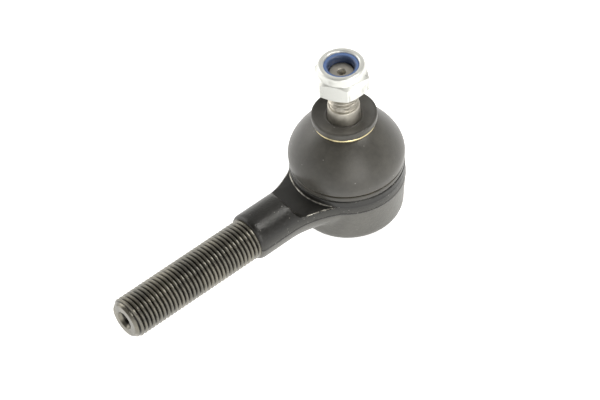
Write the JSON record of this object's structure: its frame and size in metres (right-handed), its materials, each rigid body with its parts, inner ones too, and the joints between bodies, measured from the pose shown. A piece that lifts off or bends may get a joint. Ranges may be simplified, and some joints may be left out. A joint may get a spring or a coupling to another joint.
{
  "type": "tie rod end",
  "caption": "Steering tie rod end: forged cup with a threaded shank, swivelling ball stud under a rubber boot, and a nylon-ring lock nut on the stud.",
  "frame": {"origin": "centre of the ball, where the shank's axis and the stud's axis cross", "axes": "+Z along the stud towards the nut, +X along the shank towards its threaded tip, +Y completes a right-handed frame"},
  "size_m": [0.1126, 0.0384, 0.0636],
  "materials": {
    "black_coated_forging": "satin black over forged steel",
    "black_coated_plate": "satin black over sheet steel",
    "seat_polymer": "natural polymer",
    "spring_steel": "phosphated",
    "stud_steel": "turned and ground",
    "boot_rubber": "matt black with a faint bloom",
    "ring_wire": "bright brass-plated wire",
    "zinc_plated_steel": "bright zinc plating",
    "blue_nylon": "smooth nylon"
  },
  "bodies": {
    "housing": {"housing": "black_coated_forging", "upper_seat": "seat_polymer", "lower_seat": "seat_polymer", "preload_spring": "spring_steel", "closing_plate": "black_coated_plate", "lower_clamp_ring": "ring_wire"},
    "boot": {"dust_boot": "boot_rubber"},
    "boot_top": {"upper_clamp_ring": "ring_wire"},
    "stud": {"ball_stud": "stud_steel"},
    "nut_carrier": {"nylon_insert": "blue_nylon"},
    "nut": {"nut_body": "zinc_plated_steel"}
  },
  "joints": [
    {"name": "stud_swing_sideways", "type": "hinge", "parent": "housing", "child": "boot", "pos_m": [0, 0, 0], "axis": [1, 0, 0], "range_deg": [-18, 18], "deforming": ["dust_boot"]},
    {"name": "stud_swing_lengthways", "type": "hinge", "parent": "boot", "child": "boot_top", "pos_m": [0, 0, 0], "axis": [0, 1, 0], "range_deg": [-18, 18], "deforming": ["dust_boot"]},
    {"name": "stud_spin", "type": "hinge", "parent": "boot_top", "child": "stud", "pos_m": [0, 0, 0], "axis": [0, 0, 1], "continuous": true},
    {"name": "nut_travel", "type": "slide", "parent": "stud", "child": "nut_carrier", "axis": [0, 0, 1], "range_m": [-0.00525, 0.0045], "deforming": ["nylon_insert"]},
    {"name": "nut_turn", "type": "hinge", "parent": "nut_carrier", "child": "nut", "pos_m": [0, 0, 0.0445], "axis": [0, 0, 1], "range_deg": [-1265, 1085]}
  ],
  "couplings": [
    {"joint": "nut_turn", "follows": "nut_travel", "rad_per_m": 4188.8}
  ]
}
